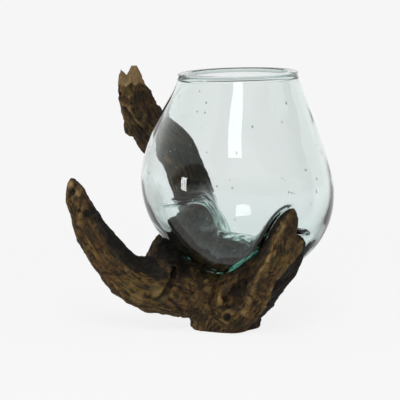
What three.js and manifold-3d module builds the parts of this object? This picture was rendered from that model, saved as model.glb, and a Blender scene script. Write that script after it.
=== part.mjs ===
// A blown glass vase that was lowered hot onto a natural root, so that it sits in the root's fork.
// Millimetres, +Z up. The origin is the middle of the root's sawn foot, on the ground. The front is -Y.
import * as THREE from "three";
import { ImprovedNoise } from "three/addons/math/ImprovedNoise.js";
import { mergeVertices } from "three/addons/utils/BufferGeometryUtils.js";
import Module from "manifold-3d";

const wasm = await Module();
wasm.setup();
const degree = Math.PI / 180;

// The vase before it sags: a ball with a tapering shoulder and a rolled lip
const vaseX = 12; // the vase's axis, beside the foot's middle
const vaseY = 4;
const bulgeRadius = 93.6;
const bulgeDrop = 87; // from the widest level down to the undented bottom
const bulgeTilt = 4.5; // degrees, the belly hangs lower on the right
const shoulderRadius = 62;
const shoulderRise = 93; // from the widest level up to the end of the shoulder
const shoulderFullness = 0.75; // share of that rise at which the shoulder has drawn in
const neckRadius = 54.5;
const lipRise = 109.5; // from the widest level up to the middle of the lip
const lipOuterRadius = 58;
const lipWidth = 10.5;
const lipThickness = 4.6;
const lipStart = -100; // degrees, where the rolled lip leaves the neck's outside
const lipTurn = 320; // degrees that the lip is rolled through
const rimTilt = 1.4; // degrees, the rim stands higher on the right
const wallBottom = 5;
const wallTop = 3;

// How the glass lies on the wood
const saddleTop = 78; // top of the root's saddle, under the middle of the vase
const sagDepth = 28; // how far the ball would hang below the saddle if no wood held it up
const seatGap = 0.5;
const foldPasses = 2; // how widely each fold runs out into the ball
const clearingPasses = 8;
const woodReach = 1.2; // in bulge radii: wood that is farther out can't touch the glass

// How finely the glass is divided
const segments = 54;
const bellySteps = 16;
const shoulderSteps = 11;
const neckSteps = 3;
const lipSteps = 8;

// The root
const footRadius = 30.5;
const saddleRadius = 20;
const gnarl = 2.4; // how far the bark swells and shrinks
const gnarlLength = 23; // from one swelling to the next
const stepAlong = 7.5; // between two sections of a limb
const ridgeTwist = 0.15; // radians that a limb's ridges turn from one section to the next
const knotSides = 14;
const knotRows = 9;
const splinterLength = 5; // how far the broken tip's two splinters stand out
const splinterTurn = 2.4; // radians, where they stand

// A station is [azimuth in degrees round the vase's axis, distance from it in bulge radii, height, radius].
// A limb is swept through its stations, and `side` is the azimuth that its section starts from.
const atFoot = [Math.atan2(-vaseY, -vaseX) / degree, Math.hypot(vaseX, vaseY) / bulgeRadius];
const limbs = {
  trunk: {
    side: 0,
    around: 30,
    ridges: 5,
    ridgeDepth: 0.05,
    stations: [
      [...atFoot, -14, footRadius],
      [...atFoot, 2, footRadius],
      [-148, 0.1, 16, 34.5],
      [-96, 0.11, 30, 30],
      [-68, 0.26, 44, 27],
      [-66, 0.44, 56, 23],
      [-63, 0.6, 68, 19],
      [-61, 0.74, 80, 15],
    ],
  },
  prong: {
    side: 33,
    around: 22,
    ridges: 3,
    ridgeDepth: 0.1,
    stations: [
      [130, 0.33, saddleTop - 18, 18],
      [130, 0.17, saddleTop - saddleRadius, saddleRadius],
      [-58, 0.01, saddleTop - saddleRadius, saddleRadius],
      [-58, 0.2, saddleTop - saddleRadius, saddleRadius],
      [-61, 0.44, 62, 20],
      [-60, 0.65, 71, 19.5],
      [-60, 0.77, 83, 17.5],
      [-61, 0.85, 95, 14.5],
      [-61, 0.89, 106, 11.5],
      [-59, 0.93, 115, 9],
      [-57, 0.97, 122, 5],
    ],
  },
  shoulder: {
    side: 40,
    around: 20,
    ridges: 3,
    ridgeDepth: 0.08,
    stations: [
      [-100, 0.14, 16, 26],
      [-70, 0.28, 32, 25],
      [-54, 0.5, 53, 20],
      [-50, 0.65, 70, 17],
      [-48, 0.74, 82, 16],
      [-47, 0.8, 91, 12.5],
      [-50, 0.8, 97, 7],
    ],
  },
  leftLimb: {
    side: -90,
    around: 22,
    ridges: 3,
    ridgeDepth: 0.1,
    stations: [
      [-120, 0.12, 34, 24],
      [-172, 0.48, 35, 28],
      [-173, 0.8, 38, 25.5],
      [-172, 1.02, 44, 23],
      [-171, 1.21, 57, 20.5],
      [-171, 1.37, 76, 18.5],
      [-170, 1.51, 96, 16.5],
      [-170, 1.6, 115, 14],
      [-170, 1.68, 131, 11],
      [-171, 1.73, 142, 5],
    ],
  },
  rearLimb: {
    side: 40,
    around: 24,
    ridges: 4,
    ridgeDepth: 0.07,
    splinters: splinterLength,
    stations: [
      [150, 0.12, 36, 26],
      [151, 0.35, 58, 22],
      [132, 0.55, 76, 20.5],
      [124, 0.82, 97, 19.5],
      [118, 1.06, 119, 20],
      [118, 1.22, 142, 20.5],
      [123, 1.32, 161, 20.5],
      [129, 1.44, 181, 20],
      [133, 1.52, 201, 18.5],
      [135, 1.56, 220, 17],
      [136, 1.59, 234, 13.5],
      [136, 1.59, 242, 10.5],
    ],
  },
  buttress: {
    side: -90,
    around: 20,
    ridges: 3,
    ridgeDepth: 0.08,
    stations: [
      [180, 0.6, 38, 26],
      [174, 0.68, 58, 28],
      [170, 0.64, 73, 25.5],
      [164, 0.54, 87, 20],
      [153, 0.52, 96, 17.5],
      [136, 0.62, 97, 17.5],
      [127, 0.77, 98, 18],
    ],
  },
};

// Folds in the bark, carved along stations of the same form
const grooves = {
  besideProng: {
    side: -60,
    around: 10,
    stations: [
      [-104, 0.43, 30, 4],
      [-93, 0.5, 36, 8],
      [-88, 0.56, 49, 8.5],
      [-83, 0.63, 60, 7.5],
      [-79, 0.7, 71, 5],
      [-76, 0.74, 78, 2],
    ],
  },
  besideLeftLimb: {
    side: -90,
    around: 8,
    stations: [
      [-177, 0.66, 76, 1.5],
      [-167, 0.67, 64, 3.5],
      [-158, 0.72, 52, 4],
      [-155, 0.79, 43, 3.5],
      [-154, 0.84, 36, 1.5],
    ],
  },
  roundKnot: {
    side: -90,
    around: 8,
    stations: [
      [-108, 0.43, 51, 1.5],
      [-122, 0.42, 43, 3.5],
      [-124, 0.47, 33, 3.5],
      [-125, 0.43, 19, 2],
    ],
  },
};

// Knots, each a ball at one station: rotten hollows, and burls that stand proud
const hollowKnots = [
  [-104, 0.43, 30, 7.5],
  [-109, 0.37, 15, 4],
  [142, 1.59, 220, 3.5],
  [-168, 1.76, 140, 3.5],
  [-165, 1.66, 119, 3],
];
const burls = [
  [136, 1.57, 184, 9],
  [-167, 1.6, 119, 10],
];

const woodColour = "#5a4328";
const glassColour = "#bcd8d0";

const bulgeHeight = saddleTop - sagDepth + bulgeDrop;
const bulgeMiddle = new THREE.Vector3(vaseX, vaseY, bulgeHeight);

// A closed skin over rings of points, each with the same count, drawn to a point at both ends.
function skin(rings, first, last) {
  const around = rings[0].length;
  const points = [first, ...rings.flat(), last];
  const end = points.length - 1;
  const at = (ring, turn) => 1 + ring * around + (turn % around);
  const index = [];
  for (let turn = 0; turn < around; turn++) {
    index.push(0, at(0, turn + 1), at(0, turn));
    index.push(end, at(rings.length - 1, turn), at(rings.length - 1, turn + 1));
    for (let ring = 0; ring + 1 < rings.length; ring++) {
      const [a, b] = [at(ring, turn), at(ring, turn + 1)];
      const [c, d] = [at(ring + 1, turn), at(ring + 1, turn + 1)];
      index.push(a, b, c, b, d, c);
    }
  }
  return new THREE.BufferGeometry().setFromPoints(points).setIndex(index);
}

function middleOf(ring) {
  return ring.reduce((sum, point) => sum.add(point), new THREE.Vector3()).divideScalar(ring.length);
}

function solidOf(geometry) {
  const vertProperties = geometry.attributes.position.array;
  const triVerts = new Uint32Array(geometry.index.array);
  return new wasm.Manifold(new wasm.Mesh({ numProp: 3, vertProperties, triVerts }));
}

function geometryOf(solid) {
  const mesh = solid.getMesh();
  const geometry = new THREE.BufferGeometry();
  geometry.setAttribute("position", new THREE.BufferAttribute(mesh.vertProperties, 3));
  return geometry.setIndex(new THREE.BufferAttribute(mesh.triVerts, 1));
}

function place([azimuth, reach, height]) {
  const distance = reach * bulgeRadius;
  const angle = azimuth * degree;
  return new THREE.Vector3(vaseX + distance * Math.cos(angle), vaseY + distance * Math.sin(angle), height);
}

const swelling = new ImprovedNoise();

// A limb or a groove: a ridged, gnarled section swept through the stations, with a domed end.
function limbSolid({ side, around, ridges = 0, ridgeDepth = 0, splinters = 0, stations }) {
  const path = new THREE.CatmullRomCurve3(stations.map(place));
  const girth = new THREE.CatmullRomCurve3(stations.map((station) => new THREE.Vector3(station[3], 0, 0)));
  const steps = Math.ceil(path.getLength() / stepAlong);
  const facing = new THREE.Vector3(Math.cos(side * degree), Math.sin(side * degree), 0);
  const rings = [];
  for (let step = 0; step <= steps; step++) {
    const share = path.getUtoTmapping(step / steps);
    const middle = path.getPoint(share);
    const along = path.getTangent(share);
    const across = facing.clone().addScaledVector(along, -facing.dot(along)).normalize();
    const over = along.clone().cross(across);
    const radius = girth.getPoint(share).x;
    const ring = [];
    for (let turn = 0; turn < around; turn++) {
      const angle = (turn / around) * 2 * Math.PI;
      const ridge = 1 + ridgeDepth * Math.cos(ridges * angle + step * ridgeTwist);
      const spoke = across.clone().multiplyScalar(Math.cos(angle)).addScaledVector(over, Math.sin(angle));
      const bark = middle.clone().addScaledVector(spoke, radius * ridge);
      const swell = gnarl * swelling.noise(bark.x / gnarlLength, bark.y / gnarlLength, bark.z / gnarlLength);
      const broken = step === steps ? splinters * Math.cos(2 * angle + splinterTurn) : 0;
      ring.push(bark.addScaledVector(spoke, swell).addScaledVector(along, broken));
    }
    rings.push(ring);
  }
  const dome = splinters ? 0 : girth.getPoint(1).x / 2;
  const last = path.getPoint(1).addScaledVector(path.getTangent(1), dome);
  return solidOf(skin(rings, path.getPoint(0), last));
}

function knotSolid(station) {
  const ball = new THREE.SphereGeometry(station[3], knotSides, knotRows);
  ball.deleteAttribute("normal").deleteAttribute("uv");
  return solidOf(mergeVertices(ball.translate(...place(station))));
}

function rootGeometry() {
  const grown = [...Object.values(limbs).map(limbSolid), ...burls.map(knotSolid)];
  const carved = [...Object.values(grooves).map(limbSolid), ...hollowKnots.map(knotSolid)];
  const whole = grown.reduce((root, limb) => root.add(limb));
  const root = carved.reduce((wood, hollow) => wood.subtract(hollow), whole).trimByPlane([0, 0, 1], 0);
  // Chips that a groove cuts loose fall away
  const [largest] = root.decompose().sort((one, other) => other.volume() - one.volume());
  return geometryOf(largest);
}

// The blown ball's outline from the bottom to the lip, as [radius, rise over the widest level].
function ballOutline() {
  const outline = [];
  for (let step = 1; step <= bellySteps; step++) {
    const angle = (step / bellySteps - 1) * 90 * degree;
    outline.push([bulgeRadius * Math.cos(angle), bulgeDrop * Math.sin(angle)]);
  }
  const taper = (bulgeRadius - shoulderRadius) / 3;
  const shoulder = new THREE.CubicBezierCurve(
    new THREE.Vector2(bulgeRadius, 0),
    new THREE.Vector2(bulgeRadius, shoulderRise / 3),
    new THREE.Vector2(shoulderRadius + taper, shoulderRise * shoulderFullness),
    new THREE.Vector2(shoulderRadius, shoulderRise),
  );
  outline.push(...shoulder.getSpacedPoints(shoulderSteps).slice(1).map(({ x, y }) => [x, y]));
  const underLip = lipRise - lipThickness / 2;
  const neck = new THREE.QuadraticBezierCurve(
    new THREE.Vector2(shoulderRadius, shoulderRise),
    new THREE.Vector2(neckRadius, (shoulderRise + underLip) / 2),
    new THREE.Vector2(neckRadius, underLip),
  );
  outline.push(...neck.getSpacedPoints(neckSteps).slice(1, neckSteps).map(({ x, y }) => [x, y]));
  return outline;
}

// The rolled lip's section, from under its outer edge over the top to under its inner edge.
function lipOutline() {
  const middle = lipOuterRadius - lipWidth / 2;
  return Array.from({ length: lipSteps }, (_, step) => {
    const angle = (lipStart + (step / (lipSteps - 1)) * lipTurn) * degree;
    return [middle + (lipWidth / 2) * Math.cos(angle), lipRise + (lipThickness / 2) * Math.sin(angle)];
  });
}

// One ring of the blown vase, leaning as a hand-made one does: the belly low on the right, the rim high.
function blownRing([radius, rise]) {
  const up = THREE.MathUtils.smoothstep(rise, shoulderRise / 2, lipRise);
  const lean = up * Math.tan(rimTilt * degree) - (1 - up) * Math.tan(bulgeTilt * degree);
  return Array.from({ length: segments }, (_, turn) => {
    const angle = (turn / segments) * 2 * Math.PI;
    const x = radius * Math.cos(angle);
    return new THREE.Vector3(x, radius * Math.sin(angle), rise + lean * x);
  });
}

// The flat faces of a surface, each with the narrow cone of directions that it fills, seen from the origin.
function facesOf(geometry) {
  const { position } = geometry.attributes;
  const faces = [];
  for (let i = 0; i < geometry.index.count; i += 3) {
    const numbers = [0, 1, 2].map((k) => geometry.index.getX(i + k));
    const corners = numbers.map((n) => new THREE.Vector3().fromBufferAttribute(position, n));
    const towards = middleOf(corners).normalize();
    const spread = Math.min(...corners.map((corner) => corner.clone().normalize().dot(towards)));
    faces.push({ numbers, corners, towards, spread });
  }
  return faces;
}

// The nearest face on the way from the origin to a point, and how far the point lies beyond it.
function faceBefore(faces, point) {
  const ray = new THREE.Ray(new THREE.Vector3(), point.clone().normalize());
  const meeting = new THREE.Vector3();
  let nearest = { beyond: -Infinity, numbers: [] };
  for (const { numbers, corners, towards, spread } of faces) {
    if (towards.dot(ray.direction) < spread - 1e-9) continue;
    if (!ray.intersectTriangle(...corners, false, meeting)) continue;
    const beyond = point.length() - meeting.length();
    if (beyond > nearest.beyond) nearest = { beyond, numbers };
  }
  return nearest;
}

// The wood within the ball's reach, seen from the middle of the bulge and grown all over by the seat's gap.
function woodNearVase(root) {
  const wood = root.clone();
  wood.computeVertexNormals();
  const { position, normal } = wood.attributes;
  for (let n = 0; n < position.count; n++) {
    const point = new THREE.Vector3().fromBufferAttribute(position, n).sub(bulgeMiddle);
    point.addScaledVector(new THREE.Vector3().fromBufferAttribute(normal, n), seatGap);
    position.setXYZ(n, ...point);
  }
  return facesOf(wood).filter(({ corners }) => corners[0].length() < woodReach * bulgeRadius);
}

// The ball after it has sunk over the wood. Every point slides towards the middle of the bulge until it
// clears the wood, and each fold runs out smoothly into the ball around it.
function saggedRings(root) {
  const wood = woodNearVase(root);
  const ball = ballOutline().map(blownRing);
  const points = ball.flat();
  const reach = points.map((point) => point.length());
  const least = points.map((point) => Math.max(0, faceBefore(wood, point).beyond));
  let dents = [...least];
  const meanOfNeighbours = (n) => {
    const turn = n % segments;
    const beside = [n - turn + ((turn + 1) % segments), n - turn + ((turn + segments - 1) % segments)];
    const across = [Math.max(turn, n - segments), Math.min(points.length - segments + turn, n + segments)];
    return [...beside, ...across].reduce((sum, m) => sum + dents[m], 0) / 4;
  };
  for (let pass = 0; pass < foldPasses; pass++)
    dents = dents.map((_, n) => Math.max(least[n], meanOfNeighbours(n)));

  // The flat faces between the points must clear the wood too
  const woodPoints = wood.flatMap(({ corners: [a, b, c] }) => {
    const middles = [middleOf([a, b]), middleOf([b, c]), middleOf([a, b, c])];
    return [a, ...middles, middleOf([a, middles[0]]), middleOf([middles[0], b])];
  });
  const firstRing = Array.from({ length: segments }, (_, turn) => turn + 1);
  const ringsNow = () => {
    const sagged = points.map((point, n) => point.clone().setLength(reach[n] - dents[n]));
    return ball.map((_, ring) => sagged.slice(ring * segments, (ring + 1) * segments));
  };
  for (let pass = 0; pass < clearingPasses; pass++) {
    const rings = ringsNow();
    const surface = facesOf(skin(rings, middleOf(rings[0]), new THREE.Vector3(0, 0, lipRise)));
    const before = [...dents];
    const deepen = (numbers, depth) => {
      for (const number of numbers) {
        if (number === 0) deepen(firstRing, depth);
        else if (number <= points.length) {
          dents[number - 1] = Math.max(dents[number - 1], before[number - 1] + depth);
        }
      }
    };
    for (const point of woodPoints) {
      const { beyond, numbers } = faceBefore(surface, point);
      if (beyond < 0) deepen(numbers, -beyond);
    }
    for (const { numbers, corners } of surface) {
      for (const [a, b] of [[0, 1], [1, 2], [2, 0]]) {
        const { beyond } = faceBefore(wood, middleOf([corners[a], corners[b]]));
        if (beyond > 0) deepen([numbers[a], numbers[b]], beyond);
      }
    }
    if (dents.every((dent, n) => dent === before[n])) break;
  }
  return ringsNow();
}

// The vase's whole skin: the sagged outside, the lip, and the inside at the wall's thickness.
function vaseGeometry(root) {
  const outside = saggedRings(root);
  const lowest = middleOf(outside[0]);
  const closed = skin(outside, lowest, new THREE.Vector3(0, 0, lipRise));
  closed.computeVertexNormals();
  const inside = outside.map((ring, i) =>
    ring.map((point, turn) => {
      const number = 1 + i * segments + turn;
      const normal = new THREE.Vector3().fromBufferAttribute(closed.attributes.normal, number);
      const wall = THREE.MathUtils.lerp(wallBottom, wallTop, i / outside.length);
      return point.clone().addScaledVector(normal, -wall);
    }),
  );
  const lip = lipOutline().map(blownRing);
  const floor = lowest.clone().setZ(lowest.z + wallBottom);
  const rings = [...outside, ...lip, ...inside.slice(0, -1).reverse()];
  return skin(rings, lowest, floor).translate(...bulgeMiddle);
}

const root = new THREE.Mesh(
  rootGeometry(),
  new THREE.MeshStandardMaterial({ color: woodColour, roughness: 0.75, metalness: 0 }),
);
root.name = "root_stand";

const vase = new THREE.Mesh(
  vaseGeometry(root.geometry),
  new THREE.MeshStandardMaterial({
    color: glassColour,
    roughness: 0.05,
    metalness: 0,
    transparent: true,
    opacity: 0.4,
  }),
);
vase.name = "glass_vase";

const vaseOnRoot = new THREE.Group();
vaseOnRoot.add(root, vase);
export default vaseOnRoot;
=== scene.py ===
"""A blown glass vase that was lowered hot onto a natural root, so that it sits in the root's fork."""

import itertools
import math

import bmesh
import bpy
import numpy as np
from mathutils import Matrix, Vector
from mathutils.bvhtree import BVHTree


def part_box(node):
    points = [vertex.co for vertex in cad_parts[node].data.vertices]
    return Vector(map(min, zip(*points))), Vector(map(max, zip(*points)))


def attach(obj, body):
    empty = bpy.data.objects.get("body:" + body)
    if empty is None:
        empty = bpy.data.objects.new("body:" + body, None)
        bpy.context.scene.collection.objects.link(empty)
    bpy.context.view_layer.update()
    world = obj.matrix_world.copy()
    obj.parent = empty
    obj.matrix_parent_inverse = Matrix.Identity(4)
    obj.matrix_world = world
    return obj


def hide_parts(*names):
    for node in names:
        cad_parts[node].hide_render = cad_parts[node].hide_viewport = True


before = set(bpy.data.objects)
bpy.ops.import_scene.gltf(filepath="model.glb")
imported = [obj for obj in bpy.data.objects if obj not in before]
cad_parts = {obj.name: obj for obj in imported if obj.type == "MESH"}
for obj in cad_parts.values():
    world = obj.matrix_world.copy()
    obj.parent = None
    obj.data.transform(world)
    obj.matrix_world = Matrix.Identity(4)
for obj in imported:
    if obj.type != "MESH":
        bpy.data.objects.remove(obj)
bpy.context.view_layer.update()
scene = bpy.context.scene
MM = 0.001

# The photograph's view: its picture is 400 by 400, and its middle looks at a point beside the vase's axis
CAMERA_PLACE = (-24.4 * MM, -1776.2 * MM, 390.1 * MM)
CAMERA_PITCH = 81.5
CAMERA_LENS = 167.0
SENSOR = 36.0
BACKGROUND = "#F6F6F6"

# The vase before it sags, in millimetres round the middle of its bulge
VASE_MIDDLE = np.array((12.0, 4.0, 137.0))
BULGE_RADIUS = 93.4
BULGE_DROP = 88.5
BULGE_TILT = 4.5
SHOULDER_RADIUS = 62.8
SHOULDER_RISE = 93
SHOULDER_FULLNESS = 0.75
NECK_RADIUS = 57.0
LIP_RISE = 110.3
LIP_OUTER_RADIUS = 58
LIP_WIDTH = 10.5
LIP_THICKNESS = 2.8
LIP_START = -35
LIP_END = 235
RIM_TILT = 1.4
WALL_BOTTOM = 7.5
WALL_TOP = 3.0
SEEDS = 120

# How finely the glass is divided, and how softly it lies on the wood
SEGMENTS = 192
BELLY_RINGS = 58
SHOULDER_RINGS = 42
NECK_RINGS = 8
LIP_RINGS = 22
SEAT = 0.7
FOLD_PASSES = 4
RELAXINGS = 2

# The root's limbs as lines of (x, y, z, radius) in millimetres, which the wood's fibres follow.
# The first number is the azimuth that the fibres' across direction starts from.
LIMBS = {
    "trunk": (0, [(0, 0, -14, 30), (0, 0, 2, 30), (4, -1, 16, 34), (11, -6, 30, 30), (21, -19, 44, 27),
                  (29, -34, 56, 23), (37, -46, 68, 19), (46, -57, 80, 15)]),
    "prong": (33, [(-8, 28, 60, 18), (2, 16, 58, 20), (22, -12, 58, 20), (32, -32, 62, 20), (42, -49, 71, 19),
                   (48, -58, 83, 17), (51, -66, 95, 14), (52, -69, 106, 11), (57, -71, 115, 9), (61, -72, 122, 5)]),
    "shoulder": (40, [(10, -9, 16, 26), (21, -21, 32, 25), (40, -34, 53, 20), (51, -43, 70, 17),
                      (58, -47, 82, 16), (63, -51, 91, 12), (60, -53, 97, 7)]),
    "left_limb": (-90, [(-52, -4, 37, 26), (-62, -5, 38, 26), (-83, -9, 44, 23), (-100, -14, 57, 20),
                        (-115, -16, 76, 18), (-127, -21, 96, 16), (-135, -22, 115, 14), (-143, -23, 131, 11),
                        (-148, -21, 142, 5)]),
    "rear_limb": (40, [(2, 10, 36, 26), (-17, 20, 58, 22), (-22, 42, 76, 20), (-31, 68, 97, 20),
                       (-35, 92, 119, 20), (-42, 105, 142, 20), (-55, 108, 161, 20), (-73, 109, 181, 20),
                       (-85, 108, 201, 18), (-91, 107, 220, 17), (-95, 107, 242, 11)]),
    "buttress": (-90, [(-44, 4, 38, 26), (-51, 11, 58, 28), (-47, 14, 73, 25), (-37, 18, 87, 20),
                       (-31, 26, 96, 17), (-30, 44, 97, 17), (-31, 62, 98, 18)]),
}

LEFT_CREST = [(-132, -31, 134), (-128, -32, 127), (-122, -33, 113), (-119, -35, 104), (-113, -34, 93), (-105, -32, 79),
              (-97, -31, 71), (-91, -29, 66), (-83, -26, 62), (-75, -22, 62), (-69, -17, 64), (-62, -16, 68)]
PRONG_CREST = [(53, -79, 112), (48, -80, 104), (46, -80, 99), (43, -79, 92), (41, -78, 87), (39, -75, 79)]
PRONG_ROOT = [(39, -75, 79), (33, -68, 69), (28, -59, 55), (23, -49, 39), (17, -45, 22)]
RIGHT_CREST = [(70, -58, 92), (67, -59, 83), (64, -66, 79), (58, -69, 75), (51, -62, 63), (42, -54, 47), (37, -45, 30),
               (30, -38, 14)]

# Raised edges of the wood as (height, half width, how pale, points). The paleness is worn wood, and partly a painted
# highlight along the lit ridges
CRESTS = [
    (1.2, 3.5, 0.25, LEFT_CREST),
    (1.6, 2.0, 0.75, PRONG_CREST),
    (2.0, 3.0, 0.4, PRONG_ROOT),
    (1.6, 2.5, 0.4, RIGHT_CREST),
    (1.5, 2.5, 0.5, [(-104, 96, 210), (-96, 91, 206), (-92, 90, 197), (-89, 91, 192), (-83, 89, 186)]),
    (1.4, 2.5, 0.6, [(-4, -29, 47), (-6, -33, 41), (-6, -33, 35), (-5, -31, 29)]),
    (1.2, 2.0, 0.5, [(-137, -39, 119), (-139, -37, 115), (-140, -34, 107)]),
    (1.5, 2.5, 0.6, [(-53, -19, 65), (-54, -19, 55), (-57, -22, 47), (-62, -30, 41), (-67, -31, 36)]),
]

# Cracks and folds as (depth, half width, points); they are also painted dark inside, as painted shade
CLEFTS = [
    (1.4, 1.1, [(-117, -31, 59), (-109, -33, 57), (-100, -33, 57), (-93, -31, 59), (-91, -30, 61)]),
    (3.2, 2.4, [(-49, -17, 67), (-50, -14, 56), (-52, -21, 48), (-55, -24, 42), (-60, -31, 37), (-66, -31, 32)]),
    (2.2, 1.6, [(-53, -31, 32), (-47, -32, 27), (-41, -28, 19)]),
    (1.8, 1.4, [(-58, -31, 27), (-52, -31, 22), (-46, -29, 19)]),
    (2.8, 2.2, [(-2, -28, 51), (-9, -30, 43), (-13, -31, 33), (-13, -30, 22), (-11, -29, 12)]),
    (2.5, 2.5, [(34, -71, 77), (28, -65, 68), (21, -45, 55), (15, -37, 41)]),
    (1.6, 1.5, [(30, -62, 74), (24, -56, 62), (17, -47, 50)]),
    (1.8, 1.6, [(-100, 93, 205), (-93, 90, 196), (-88, 90, 188), (-80, 90, 180)]),
    (2.0, 1.8, [(-94, 93, 228), (-93, 92, 222)]),
    (1.8, 1.4, [(57, -77, 108), (53, -77, 98), (52, -77, 88), (50, -72, 76)]),
    (1.6, 1.3, [(58, -62, 66), (49, -58, 52), (41, -50, 36)]),
    (1.6, 1.2, [(-34, -24, 52), (-33, -28, 40), (-30, -29, 26)]),
    (1.3, 1.2, [(-27, -21, 56), (-25, -27, 44), (-25, -29, 34)]),
]

# Knots as (centre, radius, depth of the hollow, height of the rim, how black); the black is the knot's darker wood and
# painted shade in its hollow
KNOTS = [
    ((1, -30, 33), 6.5, -2.0, 1.4, 0.5),
    ((2, -36, 17), 5.5, 4.0, 1.8, 1.0),
    ((8, -38, 44), 5.0, 3.0, 0.0, 0.9),
    ((-146, -30, 137), 5.0, 3.0, 1.4, 1.0),
    ((-131, -38, 117), 6.5, 2.6, 1.0, 1.0),
    ((-47, -30, 37), 4.5, 1.4, 1.6, 0.7),
    ((-98, 93, 222), 6.5, 1.6, 1.4, 0.2),
    ((-104, 99, 219), 3.0, 2.5, 0.8, 0.9),
    ((-118, 8, 80), 7.0, 3.0, 2.0, 0.8),
    ((-40, 122, 150), 8.0, 3.5, 2.5, 0.8),
    ((20, 34, 22), 7.0, 3.0, 2.0, 0.8),
]

# Patches as (centre, radius, how strong): pale ones, partly painted highlights, moss, and painted shade
PALE_AND_HIGHLIGHT_SPOTS = [
    ((-19, -24, 49), 2.2, 0.9), ((-18, -30, 43), 2.6, 1.0), ((-17, -30, 25), 3.0, 0.7), ((-21, -28, 21), 2.6, 0.6),
    ((17, -45, 22), 3.2, 1.0), ((14, -45, 30), 2.0, 0.7), ((3, -36, 22), 4.0, 0.8), ((-93, -31, 63), 3.5, 0.7),
    ((-65, -20, 59), 3.5, 0.6), ((-63, -30, 41), 8.0, 0.55), ((-57, -24, 43), 4.0, 0.6), ((-139, -29, 140), 4.0, 0.8),
    ((-147, -26, 143), 4.5, 0.8), ((-81, 91, 195), 2.6, 1.0), ((-2, -30, 45), 2.4, 1.0), ((-75, 10, 70), 4.0, 0.6),
    ((66, -66, 92), 3.0, 0.5), ((-140, -31, 136), 3.5, 0.8), ((-84, -32, 34), 7.0, 0.4), ((56, -76, 92), 2.4, 0.6),
]
MOSS_SPOTS = [((-7, -17, 53), 7.5, 1.0), ((-98, 92, 223), 5.5, 0.9), ((20, -58, 66), 7.0, 0.4), ((60, 40, 8), 9.0, 0.4),
              ((-62, -31, 38), 9.0, 0.6), ((48, -72, 80), 9.0, 0.5), ((-90, -33, 46), 12.0, 0.4)]
# Patches of painted shade, mostly in recesses and under the glass
SHADE_PATCHES = [((-62, -14, 74), 13.0, 1.0), ((-50, -12, 82), 13.0, 1.0), ((11, -38, 42), 9.0, 1.0), ((13, -42, 32), 7.0, 0.9), ((-129, -37, 117), 6.0, 0.9),
          ((3, -30, 25), 3.4, 1.0), ((-2, -31, 24), 2.6, 0.9), ((8, -32, 27), 3.2, 1.0), ((62, -72, 116), 12.0, 0.45), ((-84, 92, 176), 18.0, 0.8), ((18, -52, 63), 13.0, 0.75), ((-36, -16, 60), 13.0, 0.4),
          ((-30, -26, 18), 9.0, 0.5), ((-147, -31, 138), 3.5, 0.9), ((-127, -36, 122), 6.0, 0.7), ((30, -36, 8), 9.0, 0.6)]

# Painted shade, near black, beyond these lines on the sides turned from the light: (points, the way that counts as
# beyond, limbs, how strong, from where)
SHADED_SIDES = [
    (LEFT_CREST, (0.72, 0.1, 0.69), ("left_limb", "buttress"), 1.0, -5.0),
    (RIGHT_CREST, (0.9, 0.35, -0.25), ("shoulder", "prong", "trunk"), 0.95, 0.5),
    (PRONG_CREST, (-0.85, 0.3, 0.45), ("prong",), 0.9, 1.5),
]
# The way that the rear limb's side with painted shade faces, and the left tip, where the painted shade fades
SHADED_REAR = (0.85, -0.35, -0.2)
LEFT_TIP = (-139, -24, 140)

# Limbs that are worn smoother than the rest, and how much of their furrows is left
WORN_LIMBS = {"left_limb": 0.45, "buttress": 0.7}

# The outline of the broken tip, as x and height
TIP_OUTLINE = [(-109, 226), (-107, 240), (-105, 242), (-99, 236.5), (-94, 248), (-89, 249), (-85, 240), (-80, 230),
               (-74, 218)]
TIP_FOOT = 222.0
BREAK_LEVEL = 229.0
BARK_RISE = 5.5

# Ends and hollows that are drawn out of the plain solid, as (centre, radius, shift)
DRAWN_OUT = [((-148, -22, 146), 16, (1.5, 0, 5.5)), ((-122, -22, 124), 12, (-3, 0, 0)),
             ((-148, -22, 115), 10, (3, 0, 0)), ((61, -71, 121), 13, (1.5, 0, 3)), ((-72, -8, 74), 9, (0, 0, 6))]
FOOT_SHIFT = -3.5
FOOT_LEVEL = 26.0

VOXEL = 1.17 * MM
WALL_CLEARANCE = 0.3 * MM


def linear(code):
    """An sRGB hex colour as the linear RGBA that Blender's sockets take."""
    shares = [int(code[i : i + 2], 16) / 255 for i in (1, 3, 5)]
    return [s / 12.92 if s <= 0.04045 else ((s + 0.055) / 1.055) ** 2.4 for s in shares] + [1.0]


def add(tree, kind, inputs={}, **settings):
    """A new node with its settings, and its inputs set to values or linked to other nodes' outputs."""
    made = tree.nodes.new(kind)
    for name, value in settings.items():
        setattr(made, name, value)
    for key, value in inputs.items():
        if isinstance(value, bpy.types.NodeSocket):
            tree.links.new(value, made.inputs[key])
        else:
            made.inputs[key].default_value = value
    return made


def blank_material(name):
    made = bpy.data.materials.new(name)
    made.use_nodes = True
    made.node_tree.nodes.clear()
    return made


class Noise:
    """Smooth seeded noise from about -1 to 1, for arrays of points given in cell lengths."""

    def __init__(self, seed):
        draw = np.random.default_rng(seed)
        self.order = draw.permutation(256)
        lean = draw.normal(size=(256, 3))
        self.lean = lean / np.linalg.norm(lean, axis=1)[:, None]

    def __call__(self, points):
        cell = np.floor(points).astype(int)
        part = points - cell
        fade = part**3 * (part * (part * 6 - 15) + 10)
        total = np.zeros(len(points))
        for corner in itertools.product((0, 1), repeat=3):
            spot = (cell + corner) & 255
            code = self.order[(self.order[(self.order[spot[:, 0]] + spot[:, 1]) & 255] + spot[:, 2]) & 255]
            share = np.prod(np.where(np.array(corner) == 1, fade, 1 - fade), axis=1)
            total += share * np.einsum("ij,ij->i", self.lean[code], part - corner)
        return total * 1.7


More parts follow.
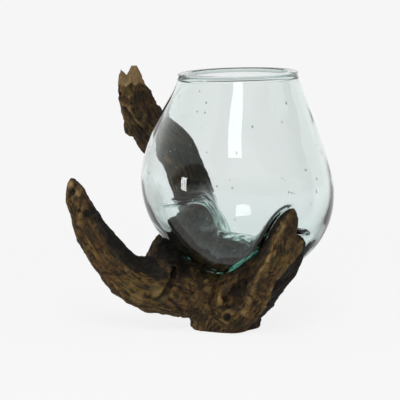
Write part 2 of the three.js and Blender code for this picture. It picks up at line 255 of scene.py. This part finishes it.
def stepped(line, step=2.0):
    """A line of chosen points, stepped evenly and rounded off."""
    line = np.array(line, float)
    reach = np.r_[0, np.cumsum(np.linalg.norm(np.diff(line[:, :3], axis=0), axis=1))]
    places = np.arange(0, reach[-1] + step / 2, step)
    even = np.column_stack([np.interp(places, reach, column) for column in line.T])
    for _ in range(6):
        even[1:-1] = (even[:-2] + 2 * even[1:-1] + even[2:]) / 4
    return even


def closest(points, line):
    """The number of the line's step that is nearest to each point, and how far it is."""
    square = (points**2).sum(1)[:, None] + (line[:, :3] ** 2).sum(1) - 2 * points @ line[:, :3].T
    number = square.argmin(1)
    return number, np.sqrt(np.maximum(square[np.arange(len(points)), number], 0))


def bell(distance, width):
    return np.exp(-((distance / width) ** 2))


def ramp(value, low, high):
    share = np.clip((value - low) / (high - low), 0, 1)
    return share * share * (3 - 2 * share)


def unit(vectors):
    vectors = np.asarray(vectors, float)
    return vectors / np.linalg.norm(vectors, axis=-1, keepdims=True)


def fibres(points):
    """For each limb, how far each point belongs to it, and its place across and along the limb's fibres."""
    found = []
    for side, line in LIMBS.values():
        spine = stepped(line)
        number, distance = closest(points, spine)
        along = unit(np.gradient(spine[:, :3], axis=0))
        across = np.array([math.cos(math.radians(side)), math.sin(math.radians(side)), 0])
        across = unit(across - (along @ across)[:, None] * along)
        over = np.cross(along, across)
        offset = points - spine[number, :3]
        lift = (offset * along[number]).sum(1)
        place = np.column_stack([
            (offset * across[number]).sum(1), (offset * over[number]).sum(1), number * 2.0 + lift,
        ])
        found.append((distance / spine[number, 3], place))
    nearness = np.array([near for near, _ in found])
    share = np.exp(-9 * (nearness - nearness.min(0)))
    return share / share.sum(0), [place for _, place in found]


def points_of(mesh):
    points = np.empty(len(mesh.vertices) * 3)
    mesh.vertices.foreach_get("co", points)
    return points.reshape(-1, 3)


def normals_of(mesh):
    mesh.update()
    normals = np.empty(len(mesh.vertices) * 3)
    mesh.vertices.foreach_get("normal", normals)
    return normals.reshape(-1, 3)


def move_to(mesh, points):
    mesh.vertices.foreach_set("co", points.ravel())
    mesh.update()


def keep(mesh, name, values):
    """Keeps a value for each vertex, which the material reads."""
    kind, field = ("FLOAT", "value") if values.ndim == 1 else ("FLOAT_VECTOR", "vector")
    kept = mesh.attributes.new(name, kind, "POINT")
    kept.data.foreach_set(field, values.astype(np.float32).ravel())


def tree_of(mesh):
    """A search tree of a mesh's faces."""
    return BVHTree.FromPolygons([v.co for v in mesh.vertices], [p.vertices for p in mesh.polygons])


def new_piece(name, mesh):
    piece = bpy.data.objects.new(name, mesh)
    scene.collection.objects.link(piece)
    return piece


def aim_camera():
    camera = new_piece("camera", bpy.data.cameras.new("camera"))
    camera.location = CAMERA_PLACE
    camera.rotation_euler = (math.radians(CAMERA_PITCH), 0, 0)
    camera.data.sensor_width = SENSOR
    camera.data.lens = CAMERA_LENS
    camera.data.clip_start = 0.1
    camera.data.clip_end = 100
    scene.camera = camera


def plain_root():
    """The root's solid on a fine even grid, with the corners between its flat faces worn round."""
    shell = bmesh.new()
    shell.from_mesh(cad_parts["root_stand"].data)
    bmesh.ops.remove_doubles(shell, verts=shell.verts, dist=0.005 * MM)
    bmesh.ops.dissolve_degenerate(shell, edges=shell.edges, dist=0.001 * MM)
    mesh = bpy.data.meshes.new("natural_root")
    shell.to_mesh(mesh)
    shell.free()
    root = new_piece("natural_root", mesh)
    fine = root.modifiers.new("fine", "REMESH")
    fine.mode = "VOXEL"
    fine.voxel_size = VOXEL
    rounded = root.modifiers.new("rounded", "SMOOTH")
    rounded.factor = 0.5
    rounded.iterations = 10
    bpy.context.view_layer.update()
    finished = bpy.data.meshes.new_from_object(root.evaluated_get(bpy.context.evaluated_depsgraph_get()))
    root.modifiers.clear()
    root.data = finished
    points = points_of(finished) / MM
    for centre, radius, shift in DRAWN_OUT:
        points += bell(np.linalg.norm(points - centre, axis=1), radius)[:, None] * shift
    points[:, 0] += FOOT_SHIFT * ramp(points[:, 2], FOOT_LEVEL, FOOT_LEVEL / 3)
    move_to(finished, points * MM)
    return root


def bezier(handles, steps):
    """Evenly spaced points along a Bezier curve."""
    share = np.linspace(0, 1, 400)[:, None]
    last = len(handles) - 1
    curve = sum(math.comb(last, i) * (1 - share) ** (last - i) * share**i * np.array(handle, float)
                for i, handle in enumerate(handles))
    reach = np.r_[0, np.cumsum(np.linalg.norm(np.diff(curve, axis=0), axis=1))]
    return np.column_stack([np.interp(np.linspace(0, reach[-1], steps + 1), reach, column) for column in curve.T])


def ball_outline():
    """The blown ball's outline from the bottom to the neck, as rows of radius and height over the widest level."""
    angle = np.radians(np.linspace(-90, 0, BELLY_RINGS + 1)[1:])
    belly = np.column_stack([BULGE_RADIUS * np.cos(angle), BULGE_DROP * np.sin(angle)])
    taper = (BULGE_RADIUS - SHOULDER_RADIUS) / 3
    shoulder = bezier([(BULGE_RADIUS, 0), (BULGE_RADIUS, SHOULDER_RISE / 3),
                       (SHOULDER_RADIUS + taper, SHOULDER_RISE * SHOULDER_FULLNESS),
                       (SHOULDER_RADIUS, SHOULDER_RISE)], SHOULDER_RINGS)
    under_lip = LIP_RISE - LIP_THICKNESS / 2
    neck = bezier([(SHOULDER_RADIUS, SHOULDER_RISE), (NECK_RADIUS, under_lip)], NECK_RINGS)
    return np.vstack([belly, shoulder[1:], neck[1:-1]])


def lip_outline():
    """The rolled lip's section, from under its outer edge over the top to under its inner edge."""
    angle = np.radians(np.linspace(LIP_START, LIP_END, LIP_RINGS))
    middle = LIP_OUTER_RADIUS - LIP_WIDTH / 2
    return np.column_stack([middle + LIP_WIDTH / 2 * np.cos(angle), LIP_RISE + LIP_THICKNESS / 2 * np.sin(angle)])


def blown_rings(outline):
    """An outline turned round the axis: the belly hangs low on the right and the rim stands high there."""
    turn = np.linspace(0, 2 * np.pi, SEGMENTS, endpoint=False)
    radius, rise = outline[:, :1], outline[:, 1:]
    x = radius * np.cos(turn)
    up = ramp(rise, SHOULDER_RISE / 2, LIP_RISE)
    lean = up * math.tan(math.radians(RIM_TILT)) - (1 - up) * math.tan(math.radians(BULGE_TILT))
    return np.stack([x, radius * np.sin(turn), rise + lean * x], axis=2)


def mean_beside(field):
    """The mean of each grid point's four neighbours, round its ring and in the rings below and above."""
    above = np.concatenate([field[1:], field[-1:]])
    below = np.concatenate([field[:1], field[:-1]])
    return (np.roll(field, 1, 1) + np.roll(field, -1, 1) + above + below) / 4


def least_dents(rings, wood):
    """How far each point has to slide towards the middle of the bulge to lie clear of the wood."""
    reach = np.linalg.norm(rings, axis=2)
    towards = rings / reach[..., None]
    least = np.zeros(reach.shape)
    middle = Vector(VASE_MIDDLE * MM)
    for ring, turn in np.ndindex(reach.shape):
        way = Vector(towards[ring, turn])
        _, normal, _, distance = wood.ray_cast(middle, way, (reach[ring, turn] + 2 * SEAT) * MM)
        if distance is not None:
            slope = max(abs(normal.dot(way)), 0.4)
            least[ring, turn] = max(0, reach[ring, turn] - distance / MM + SEAT / slope)
    return least


def sagged_rings(wood):
    """The ball after it has sunk over the wood, with each fold running out softly into the ball around it."""
    rings = blown_rings(ball_outline())
    least = least_dents(rings, wood)
    dents = least
    for _ in range(FOLD_PASSES):
        dents = np.maximum(least, mean_beside(dents))
    rings = rings - unit(rings) * dents[..., None]
    for _ in range(RELAXINGS):
        rings = (rings + mean_beside(rings)) / 2
        rings = rings - unit(rings) * least_dents(rings, wood)[..., None]
    return rings


def inner_rings(outside):
    """The wall's inside: thick at the bottom, thin at the shoulder, and uneven as hand-blown glass is."""
    along = np.gradient(outside, axis=0)
    around = np.roll(outside, -1, 1) - np.roll(outside, 1, 1)
    normal = np.cross(around, along)
    for _ in range(4):
        normal = mean_beside(unit(normal))
    share = np.linspace(0, 1, len(outside))[:, None, None]
    uneven = Noise(3)(outside.reshape(-1, 3) / 26).reshape(outside.shape[:2] + (1,))
    wall = WALL_TOP + (WALL_BOTTOM - WALL_TOP) * ramp(share, 0.6, 0.2) + 0.4 * uneven
    inside = outside - unit(normal) * wall
    for _ in range(4):
        inside = (inside + mean_beside(inside)) / 2
    return inside


def add_seeds(shell, outside, inside):
    """Seeds, the small gas bubbles that stay in recycled glass, drawn out upwards inside the wall."""
    draw = np.random.default_rng(11)
    for _ in range(SEEDS):
        ring = draw.integers(6, len(outside) - 8)
        turn = draw.integers(SEGMENTS)
        outer, inner = outside[ring, turn], inside[ring, turn]
        wall = np.linalg.norm(inner - outer)
        radius = min(draw.uniform(0.3, 0.85), 0.3 * wall)
        centre = outer + (inner - outer) * draw.uniform(0.4, 0.6)
        upwards = Vector(outside[ring + 1, turn] - outside[ring - 1, turn]).to_track_quat("Z", "Y").to_matrix()
        drawn_out = Matrix.Diagonal((1, 1, draw.uniform(1.1, 2.2), 1))
        place = Matrix.Translation(Vector((centre + VASE_MIDDLE) * MM)) @ upwards.to_4x4() @ drawn_out
        bubble = bmesh.ops.create_icosphere(shell, subdivisions=2, radius=radius * MM, matrix=place)
        skin = {face for vert in bubble["verts"] for face in vert.link_faces}
        bmesh.ops.reverse_faces(shell, faces=list(skin))


def blown_glass():
    """Recycled soda-lime glass, hand-blown: clear, faintly wavy, and sea green where it is seen edge on."""
    made = blank_material("blown_recycled_glass")
    tree = made.node_tree
    place = add(tree, "ShaderNodeTexCoord")
    waves = add(tree, "ShaderNodeTexNoise", {"Vector": place.outputs["Object"], "Scale": 28, "Detail": 1.5,
                                             "Roughness": 0.4})
    ripple = add(tree, "ShaderNodeBump", {"Height": waves.outputs[0], "Strength": 0.25, "Distance": 0.6 * MM})
    glass = add(tree, "ShaderNodeBsdfPrincipled", {
        "Base Color": linear("#FFFFFF"), "Roughness": 0.0, "IOR": 1.5, "Transmission Weight": 1.0,
        "Normal": ripple.outputs[0],
    })
    tint = add(tree, "ShaderNodeVolumeAbsorption", {"Color": linear("#A9DCD3"), "Density": 34.0})
    add(tree, "ShaderNodeOutputMaterial", {"Surface": glass.outputs[0], "Volume": tint.outputs[0]})
    return made


def make_vase(root):
    """The vase, blown and sagged over the wood, as one closed skin: outside, rolled lip and inside."""
    low, high = (np.array(corner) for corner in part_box("glass_vase"))
    outside = sagged_rings(tree_of(root.data))
    inside = inner_rings(outside)
    rings = np.concatenate([outside, blown_rings(lip_outline()), inside[::-1]])
    shell = bmesh.new()
    rows = len(rings) + 1
    bmesh.ops.create_uvsphere(shell, u_segments=SEGMENTS, v_segments=rows, radius=1)
    for vert in shell.verts:
        ring = round(math.acos(max(-1, min(1, -vert.co.z))) / math.pi * rows)
        turn = round(math.atan2(vert.co.y, vert.co.x) / (2 * math.pi) * SEGMENTS) % SEGMENTS
        poles = {0: rings[0].mean(0), rows: rings[-1].mean(0)}
        point = poles[ring] if ring in poles else rings[ring - 1, turn]
        vert.co = np.clip((point + VASE_MIDDLE) * MM, low, high)
    add_seeds(shell, outside, inside)
    mesh = bpy.data.meshes.new("blown_vase")
    shell.to_mesh(mesh)
    shell.free()
    mesh.shade_smooth()
    mesh.materials.append(blown_glass())
    vase = new_piece("blown_vase", mesh)
    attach(vase, "vase")
    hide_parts("glass_vase")
    return vase


def wood_relief(points, normals, noise):
    """How far the wood stands out at each point, in millimetres, and how much of each colour mark it has, painted shade
    and highlights among them.
    """
    warped = points.copy()
    for centre, radius, *_ in KNOTS:
        offset = points - centre
        warped -= 0.6 * offset * bell(np.linalg.norm(offset, axis=1), 2.2 * radius)[:, None]
    shares, places = fibres(warped)
    limb_share = dict(zip(LIMBS, shares))
    height = np.zeros(len(points))
    grain = np.zeros_like(points)
    for name, share, place in zip(LIMBS, shares, places):
        wave = noise(place / (10, 10, 60))
        furrow = noise(place / (4.6, 4.6, 38) + 7)
        fine = noise(place / (2.2, 2.2, 20) + 13)
        split = noise(place / (8, 8, 85) + 29)
        layer = 1.1 * wave + 0.9 * (0.5 - 1.6 * np.abs(furrow)) + 0.4 * fine - 1.5 * bell(split, 0.05)
        height += share * layer * WORN_LIMBS.get(name, 1.0)
        grain += share[:, None] * place
    rough = noise(points / 3.0 + 51)
    height += 0.6 * noise(points / 17 + 3) + 0.9 * noise(points / 7.5 + 5) + 0.35 * rough
    height -= 1.2 * ramp(noise(points / 4.2 + 17), 0.36, 0.6)
    blotch = ramp(noise(points / 8 + 61) + 0.4 * rough, -0.3, 0.4)
    pale = np.zeros(len(points))
    knots_and_painted_shade = np.zeros(len(points))
    moss = np.zeros(len(points))
    # Crests stand out and are paler: worn wood, and partly a painted highlight along the lit ridges
    for rise, width, paleness, line in CRESTS:
        _, distance = closest(points, stepped(line, 1.0))
        height += rise * bell(distance, width)
        pale = np.maximum(pale, paleness * blotch * bell(distance + 0.8 * rough, width * 0.65))
    # Cracks are carved in and painted dark inside, as painted shade
    for depth, width, line in CLEFTS:
        _, distance = closest(points, stepped(line, 1.0))
        height -= depth * bell(distance, width)
        knots_and_painted_shade = np.maximum(knots_and_painted_shade, 0.85 * bell(distance, width))
    # Knots are carved and painted dark: their own darker wood, and painted shade in the hollows
    for centre, radius, depth, rim, blackness in KNOTS:
        away = np.linalg.norm(points - centre, axis=1) / radius
        height += rim * (0.4 + 0.8 * blotch) * bell(away - 1, 0.3) - depth * bell(away, 0.65)
        height += 0.25 * np.cos(away * 9) * bell(away, 1.2)
        knots_and_painted_shade = np.maximum(knots_and_painted_shade, blackness * ramp(away + 0.12 * rough, 0.95, 0.5))
    # Patches of painted shade, mostly in recesses and under the glass
    for centre, radius, strength in SHADE_PATCHES:
        knots_and_painted_shade = np.maximum(knots_and_painted_shade, strength * bell(np.linalg.norm(points - centre, axis=1), radius))
    # Painted shade, near black, on the limbs' sides turned from the light
    for line, direction, limbs, strength, start in SHADED_SIDES:
        spine = stepped(line, 1.0)
        number, distance = closest(points, spine)
        direction = unit(direction)
        beyond = (points - spine[number]) @ direction + 1.5 * noise(points / 6 + 41)
        near = sum(limb_share[limb] for limb in limbs) * ramp(distance, 36, 22)
        near *= 1 - 0.55 * bell(np.linalg.norm(points - LEFT_TIP, axis=1), 20)
        facing = ramp(normals @ direction, -0.25, 0.15)
        knots_and_painted_shade = np.maximum(knots_and_painted_shade, strength * near * facing * ramp(beyond, start, start + 3))
    # Painted shade on the rear limb's side turned from the light
    facing = normals @ unit(SHADED_REAR) + 0.15 * noise(points / 12 + 41)
    knots_and_painted_shade = np.maximum(knots_and_painted_shade, 0.55 * limb_share["rear_limb"] * ramp(facing, 0.15, 0.55))
    # Pale spots: pale wood, and partly painted highlights
    for centre, radius, strength in PALE_AND_HIGHLIGHT_SPOTS:
        away = np.linalg.norm((points - centre) / (1, 1, 1.25), axis=1) + 0.3 * radius * rough
        away += 1.4 * noise(points / 3.4 + 23)
        pale = np.maximum(pale, strength * (0.35 + 0.65 * blotch) * ramp(away, radius * 1.3, radius * 0.5))
    for centre, radius, strength in MOSS_SPOTS:
        away = np.linalg.norm(points - centre, axis=1) + 2 * noise(points / 4 + 37)
        moss = np.maximum(moss, strength * ramp(away, radius * 1.3, radius * 0.4))
    level = BREAK_LEVEL + BARK_RISE * ramp(points[:, 0], -89, -83) + 2.2 * noise(points / 4 + 31)
    broken = ramp(points[:, 2] - level, -0.6, 0.6) * limb_share["rear_limb"]
    return height, {"grain": grain * MM, "pale": pale, "knots_and_painted_shade": knots_and_painted_shade, "moss": moss, "broken": broken}


def break_tip(points):
    """Draws the rear limb's end up or down to the ragged outline that it broke off with."""
    end = np.flatnonzero((points[:, 2] > TIP_FOOT) & (points[:, 1] > 60))
    x, z = points[end, 0], points[end, 2]
    columns = np.arange(math.floor(x.min()), math.ceil(x.max()) + 1.0)
    tops = np.array([z[np.abs(x - column) < 1.5].max(initial=TIP_FOOT) for column in columns])
    for _ in range(2):
        tops[1:-1] = (tops[:-2] + tops[1:-1] + tops[2:]) / 3
    outline = np.array(TIP_OUTLINE, float)
    wanted = np.interp(x, outline[:, 0], outline[:, 1]) + 1.2 * Noise(8)(points[end] / (3.5, 3.5, 60))
    stretch = np.clip((wanted - TIP_FOOT) / np.maximum(np.interp(x, columns, tops) - TIP_FOOT, 2), 0, 1.3)
    points[end, 2] = TIP_FOOT + (z - TIP_FOOT) * stretch


def weathered_root():
    """Teak root, dug out and weathered: brown and fibrous, pale where it broke, with painted shade and highlights."""
    made = blank_material("weathered_teak_root")
    tree = made.node_tree
    kept = {name: add(tree, "ShaderNodeAttribute", attribute_name=name)
            for name in ("grain", "pale", "knots_and_painted_shade", "moss", "broken", "worn", "sawn")}
    along = add(tree, "ShaderNodeMapping", {"Vector": kept["grain"].outputs["Vector"], "Scale": (1, 1, 0.12)})
    place = add(tree, "ShaderNodeTexCoord")

    def noise(vector, scale, detail=3.0, rough=0.6):
        return add(tree, "ShaderNodeTexNoise", {"Vector": vector, "Scale": scale, "Detail": detail,
                                                "Roughness": rough}).outputs[0]

    def spread(value, low, high, out_low=0.0, out_high=1.0):
        return add(tree, "ShaderNodeMapRange", {0: value, 1: low, 2: high, 3: out_low, 4: out_high}).outputs[0]

    def times(one, other):
        return add(tree, "ShaderNodeMath", {0: one, 1: other}, operation="MULTIPLY").outputs[0]

    def mix(share, one, other):
        return add(tree, "ShaderNodeMix", {"Factor": share, 6: one, 7: other}, data_type="RGBA").outputs[2]

    streaks = noise(along.outputs[0], 420)
    fine_streaks = noise(along.outputs[0], 1100, 2.0)
    cloud = noise(place.outputs["Object"], 70, 4.0)
    patch = noise(place.outputs["Object"], 38, 3.0)
    speck = noise(place.outputs["Object"], 650, 2.0)
    mottle = noise(place.outputs["Object"], 230, 4.0, 0.75)
    fleck = noise(along.outputs[0], 620, 3.0, 0.7)
    colour = mix(spread(streaks, 0.4, 0.62), linear("#2A1E10"), linear("#7B5D2D"))
    colour = mix(spread(patch, 0.5, 0.62, 0.0, 0.55), colour, linear("#5C3F1E"))
    colour = mix(spread(cloud, 0.5, 0.62, 0.0, 0.75), colour, linear("#2C2512"))
    colour = mix(spread(mottle, 0.5, 0.62, 0.0, 0.7), colour, linear("#1A140C"))
    colour = mix(times(kept["worn"].outputs["Fac"], spread(fine_streaks, 0.35, 0.65)), colour, linear("#80652F"))
    colour = mix(times(kept["worn"].outputs["Fac"], spread(fleck, 0.52, 0.64, 0.0, 0.75)), colour,
                 linear("#9C7D48"))
    colour = mix(spread(speck, 0.64, 0.76, 0.0, 0.45), colour, linear("#957A44"))
    colour = mix(times(kept["moss"].outputs["Fac"], spread(speck, 0.35, 0.6, 0.3, 0.85)), colour, linear("#605723"))
    # Pale wood on worn crests and spots, partly painted highlights
    colour = mix(times(kept["pale"].outputs["Fac"], spread(fine_streaks, 0.3, 0.55, 0.4, 1.0)), colour,
                 linear("#AE8E5B"))
    # Painted shade, near black: on the sides turned from the light, in cracks, knots and hollows, and near the glass
    colour = mix(times(kept["knots_and_painted_shade"].outputs["Fac"], spread(streaks, 0.25, 0.7, 1.0, 0.9)), colour,
                 linear("#100E0A"))
    break_colour = mix(spread(fine_streaks, 0.3, 0.65), linear("#6A5335"), linear("#9C8259"))
    colour = mix(kept["broken"].outputs["Fac"], colour, break_colour)
    rings = add(tree, "ShaderNodeTexWave", {"Vector": place.outputs["Object"], "Scale": 90, "Distortion": 3.0,
                                            "Detail": 3.0}, wave_type="RINGS", rings_direction="Z").outputs[1]
    colour = mix(kept["sawn"].outputs["Fac"], colour, mix(rings, linear("#5C4329"), linear("#8B6D46")))
    relief = add(tree, "ShaderNodeMath", {0: fine_streaks, 1: times(speck, 0.6)}, operation="ADD").outputs[0]
    bump = add(tree, "ShaderNodeBump", {"Height": relief, "Strength": 0.8, "Distance": 0.6 * MM})
    roughness = spread(kept["worn"].outputs["Fac"], 0.0, 1.0, 0.85, 0.62)
    wood = add(tree, "ShaderNodeBsdfPrincipled", {"Base Color": colour, "Roughness": roughness, "IOR": 1.45,
                                                  "Normal": bump.outputs[0]})
    add(tree, "ShaderNodeOutputMaterial", {"Surface": wood.outputs[0]})
    return made


def carve_root(root, vase):
    """Carves the wood along its fibres, breaks its tip, and presses it back wherever the glass lies on it."""
    low, high = (np.array(corner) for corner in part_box("root_stand"))
    mesh = root.data
    points = points_of(mesh)
    normals = normals_of(mesh)
    sawn = (points[:, 2] < 1.6 * MM) & (normals[:, 2] < -0.7)
    height, finish_and_painted_light = wood_relief(points / MM, normals, Noise(5))
    glass = tree_of(vase.data)
    near_glass = np.array([glass.find_nearest(Vector(p), 16 * MM)[3] or 16 * MM for p in points])
    # Painted shade: the wood is painted darker near the glass
    finish_and_painted_light["knots_and_painted_shade"] = np.maximum(finish_and_painted_light["knots_and_painted_shade"], 0.3 * ramp(near_glass / MM, 13, 2.5))
    height = np.minimum(height * MM, near_glass - WALL_CLEARANCE)
    height[sawn] = 0
    moved = points + normals * height[:, None]
    for number in np.flatnonzero(near_glass < 8 * MM):
        place, normal, _, _ = glass.find_nearest(Vector(moved[number]))
        beyond = (Vector(moved[number]) - place).dot(normal)
        if beyond < WALL_CLEARANCE:
            moved[number] = place + normal * WALL_CLEARANCE
    moved[sawn, 2] = 0
    moved /= MM
    break_tip(moved)
    move_to(mesh, np.clip(moved * MM, low, high))
    finish_and_painted_light["worn"] = ramp(height / MM, 0.4, 2.2)
    # Painted shade in the hollows of the relief
    finish_and_painted_light["knots_and_painted_shade"] = np.maximum(finish_and_painted_light["knots_and_painted_shade"], 0.6 * ramp(-height / MM, 0.3, 2.0))
    finish_and_painted_light["sawn"] = sawn.astype(float)
    for name, values in finish_and_painted_light.items():
        keep(mesh, name, values)
    mesh.shade_smooth()
    mesh.materials.append(weathered_root())
    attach(root, "stand")
    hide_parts("root_stand")


def white_ground():
    """Matt studio ground: white to the camera, to glass and in reflections, but it keeps some of each shadow."""
    made = blank_material("matt_studio_ground")
    tree = made.node_tree
    path = add(tree, "ShaderNodeLightPath").outputs
    seen = add(tree, "ShaderNodeMath", {0: path["Is Camera Ray"], 1: path["Is Glossy Ray"]}, operation="MAXIMUM")
    seen = add(tree, "ShaderNodeMath", {0: seen.outputs[0], 1: path["Is Transmission Ray"]}, operation="MAXIMUM")
    place = add(tree, "ShaderNodeTexCoord").outputs["Object"]
    away = add(tree, "ShaderNodeVectorMath", {0: place}, operation="LENGTH").outputs["Value"]
    white_share = add(tree, "ShaderNodeMapRange", {0: away, 1: 0.3, 2: 1.0, 3: 0.85, 4: 1.0},
                      interpolation_type="SMOOTHSTEP").outputs[0]
    share = add(tree, "ShaderNodeMath", {0: seen.outputs[0], 1: white_share}, operation="MULTIPLY").outputs[0]
    matt = add(tree, "ShaderNodeBsdfDiffuse", {"Color": linear("#FFFFFF")})
    reflected = add(tree, "ShaderNodeMath", {0: path["Glossy Depth"], 1: 0.5}, operation="GREATER_THAN").outputs[0]
    straight = add(tree, "ShaderNodeMapRange", {0: away, 1: 0.3, 2: 1.0, 3: 1.07, 4: 1.0},
                   interpolation_type="SMOOTHSTEP").outputs[0]
    depth = add(tree, "ShaderNodeSeparateXYZ", {0: place}).outputs["Y"]
    mirrored = add(tree, "ShaderNodeMapRange", {0: depth, 1: -0.3, 2: 0.8, 3: 0.5, 4: 1.0}).outputs[0]
    glow = add(tree, "ShaderNodeMix", {"Factor": reflected, 2: straight, 3: mirrored}).outputs[0]
    white = add(tree, "ShaderNodeEmission", {"Color": linear(BACKGROUND), "Strength": glow})
    surface = add(tree, "ShaderNodeMixShader", {0: share, 1: matt.outputs[0], 2: white.outputs[0]})
    add(tree, "ShaderNodeOutputMaterial", {"Surface": surface.outputs[0]})
    return made


def make_floor():
    disc = bmesh.new()
    bmesh.ops.create_circle(disc, cap_ends=True, segments=96, radius=30,
                            matrix=Matrix.Translation((0, 0, -0.3 * MM)))
    mesh = bpy.data.meshes.new("floor")
    disc.to_mesh(mesh)
    disc.free()
    mesh.materials.append(white_ground())
    new_piece("floor", mesh)


def softbox(name, place, width, height, glow, towards):
    """A soft lamp with the given glow all over its face, turned to the object and seen in reflections alone."""
    lamp = bpy.data.lights.new(name, "AREA")
    lamp.shape = "RECTANGLE"
    lamp.size, lamp.size_y = width, height
    lamp.energy = glow * math.pi * width * height
    box = new_piece(name, lamp)
    box.visible_camera = False
    box.visible_transmission = False
    box.location = place
    box.rotation_euler = (Vector(towards) - Vector(place)).to_track_quat("-Z", "Y").to_euler()


def light_studio():
    """Two softboxes, a white wall all round for the eye and through glass, and a dimmer one in reflections."""
    softbox("front_softbox", (-0.06, -1.74, 2.1), 0.74, 1.75, 6.5, (-0.06, 0, 0.15))
    softbox("left_softbox", (-1.85, -0.85, 0.24), 0.26, 0.45, 14.0, (0, 0, 0.2))
    world = bpy.data.worlds.new("studio")
    world.use_nodes = True
    tree = world.node_tree
    tree.nodes.clear()
    path = add(tree, "ShaderNodeLightPath").outputs
    way = add(tree, "ShaderNodeSeparateXYZ", {0: add(tree, "ShaderNodeTexCoord").outputs["Generated"]}).outputs["Y"]
    mirrored = add(tree, "ShaderNodeMapRange", {0: way, 1: 0.1, 2: 0.7, 3: 0.08, 4: 1.0}).outputs[0]
    seen = add(tree, "ShaderNodeMath", {0: path["Is Camera Ray"], 1: path["Is Transmission Ray"]},
               operation="MAXIMUM").outputs[0]
    straight = add(tree, "ShaderNodeMix", {"Factor": seen, 2: 0.35, 3: 1.0}).outputs[0]
    reflected = add(tree, "ShaderNodeMath", {0: path["Glossy Depth"], 1: 0.5}, operation="GREATER_THAN").outputs[0]
    glow = add(tree, "ShaderNodeMix", {"Factor": reflected, 2: straight, 3: mirrored}).outputs[0]
    sky = add(tree, "ShaderNodeBackground", {"Color": linear(BACKGROUND), "Strength": glow})
    add(tree, "ShaderNodeOutputWorld", {"Surface": sky.outputs[0]})
    scene.world = world


aim_camera()
make_floor()
light_studio()
root = plain_root()
carve_root(root, make_vase(root))
scene.view_settings.view_transform = "Standard"
